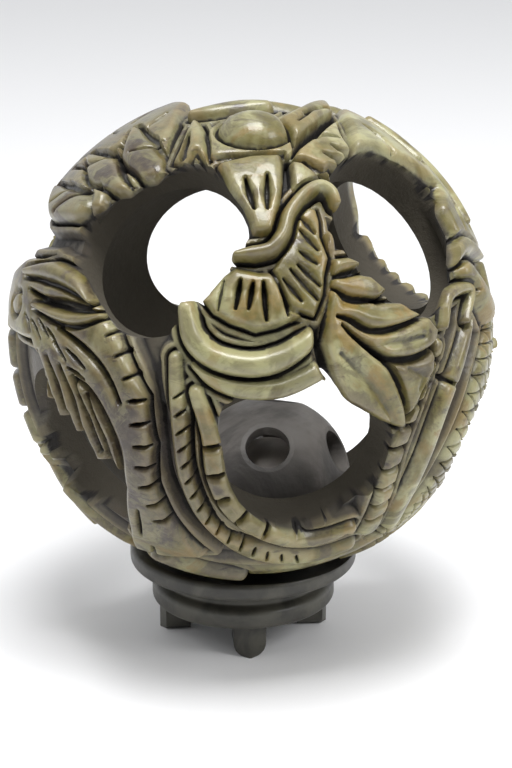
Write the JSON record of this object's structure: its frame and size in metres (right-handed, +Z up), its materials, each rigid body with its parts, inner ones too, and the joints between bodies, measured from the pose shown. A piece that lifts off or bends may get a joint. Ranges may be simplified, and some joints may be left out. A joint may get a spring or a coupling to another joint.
{
  "type": "stone puzzle ball",
  "caption": "Carved green stone puzzle ball with round openings, loose balls one inside another, on a low turned stand with feet.",
  "frame": {"origin": "on the floor, at the middle of the part's outline seen from above, under the middle of the ball", "axes": "+Z up, and -Y towards the side that the picture shows, so +X is right in the picture"},
  "size_m": [0.0796, 0.0786, 0.0904],
  "materials": {
    "green_stone": "polished carving with dark matt hollows",
    "dark_stone": "smooth, softly polished",
    "core_stone": "smooth, matt",
    "stand_stone": "softly polished"
  },
  "bodies": {
    "root": {"outer_ball": "green_stone", "inner_ball": "dark_stone", "core_ball": "core_stone", "stand": "stand_stone"}
  },
  "joints": []
}
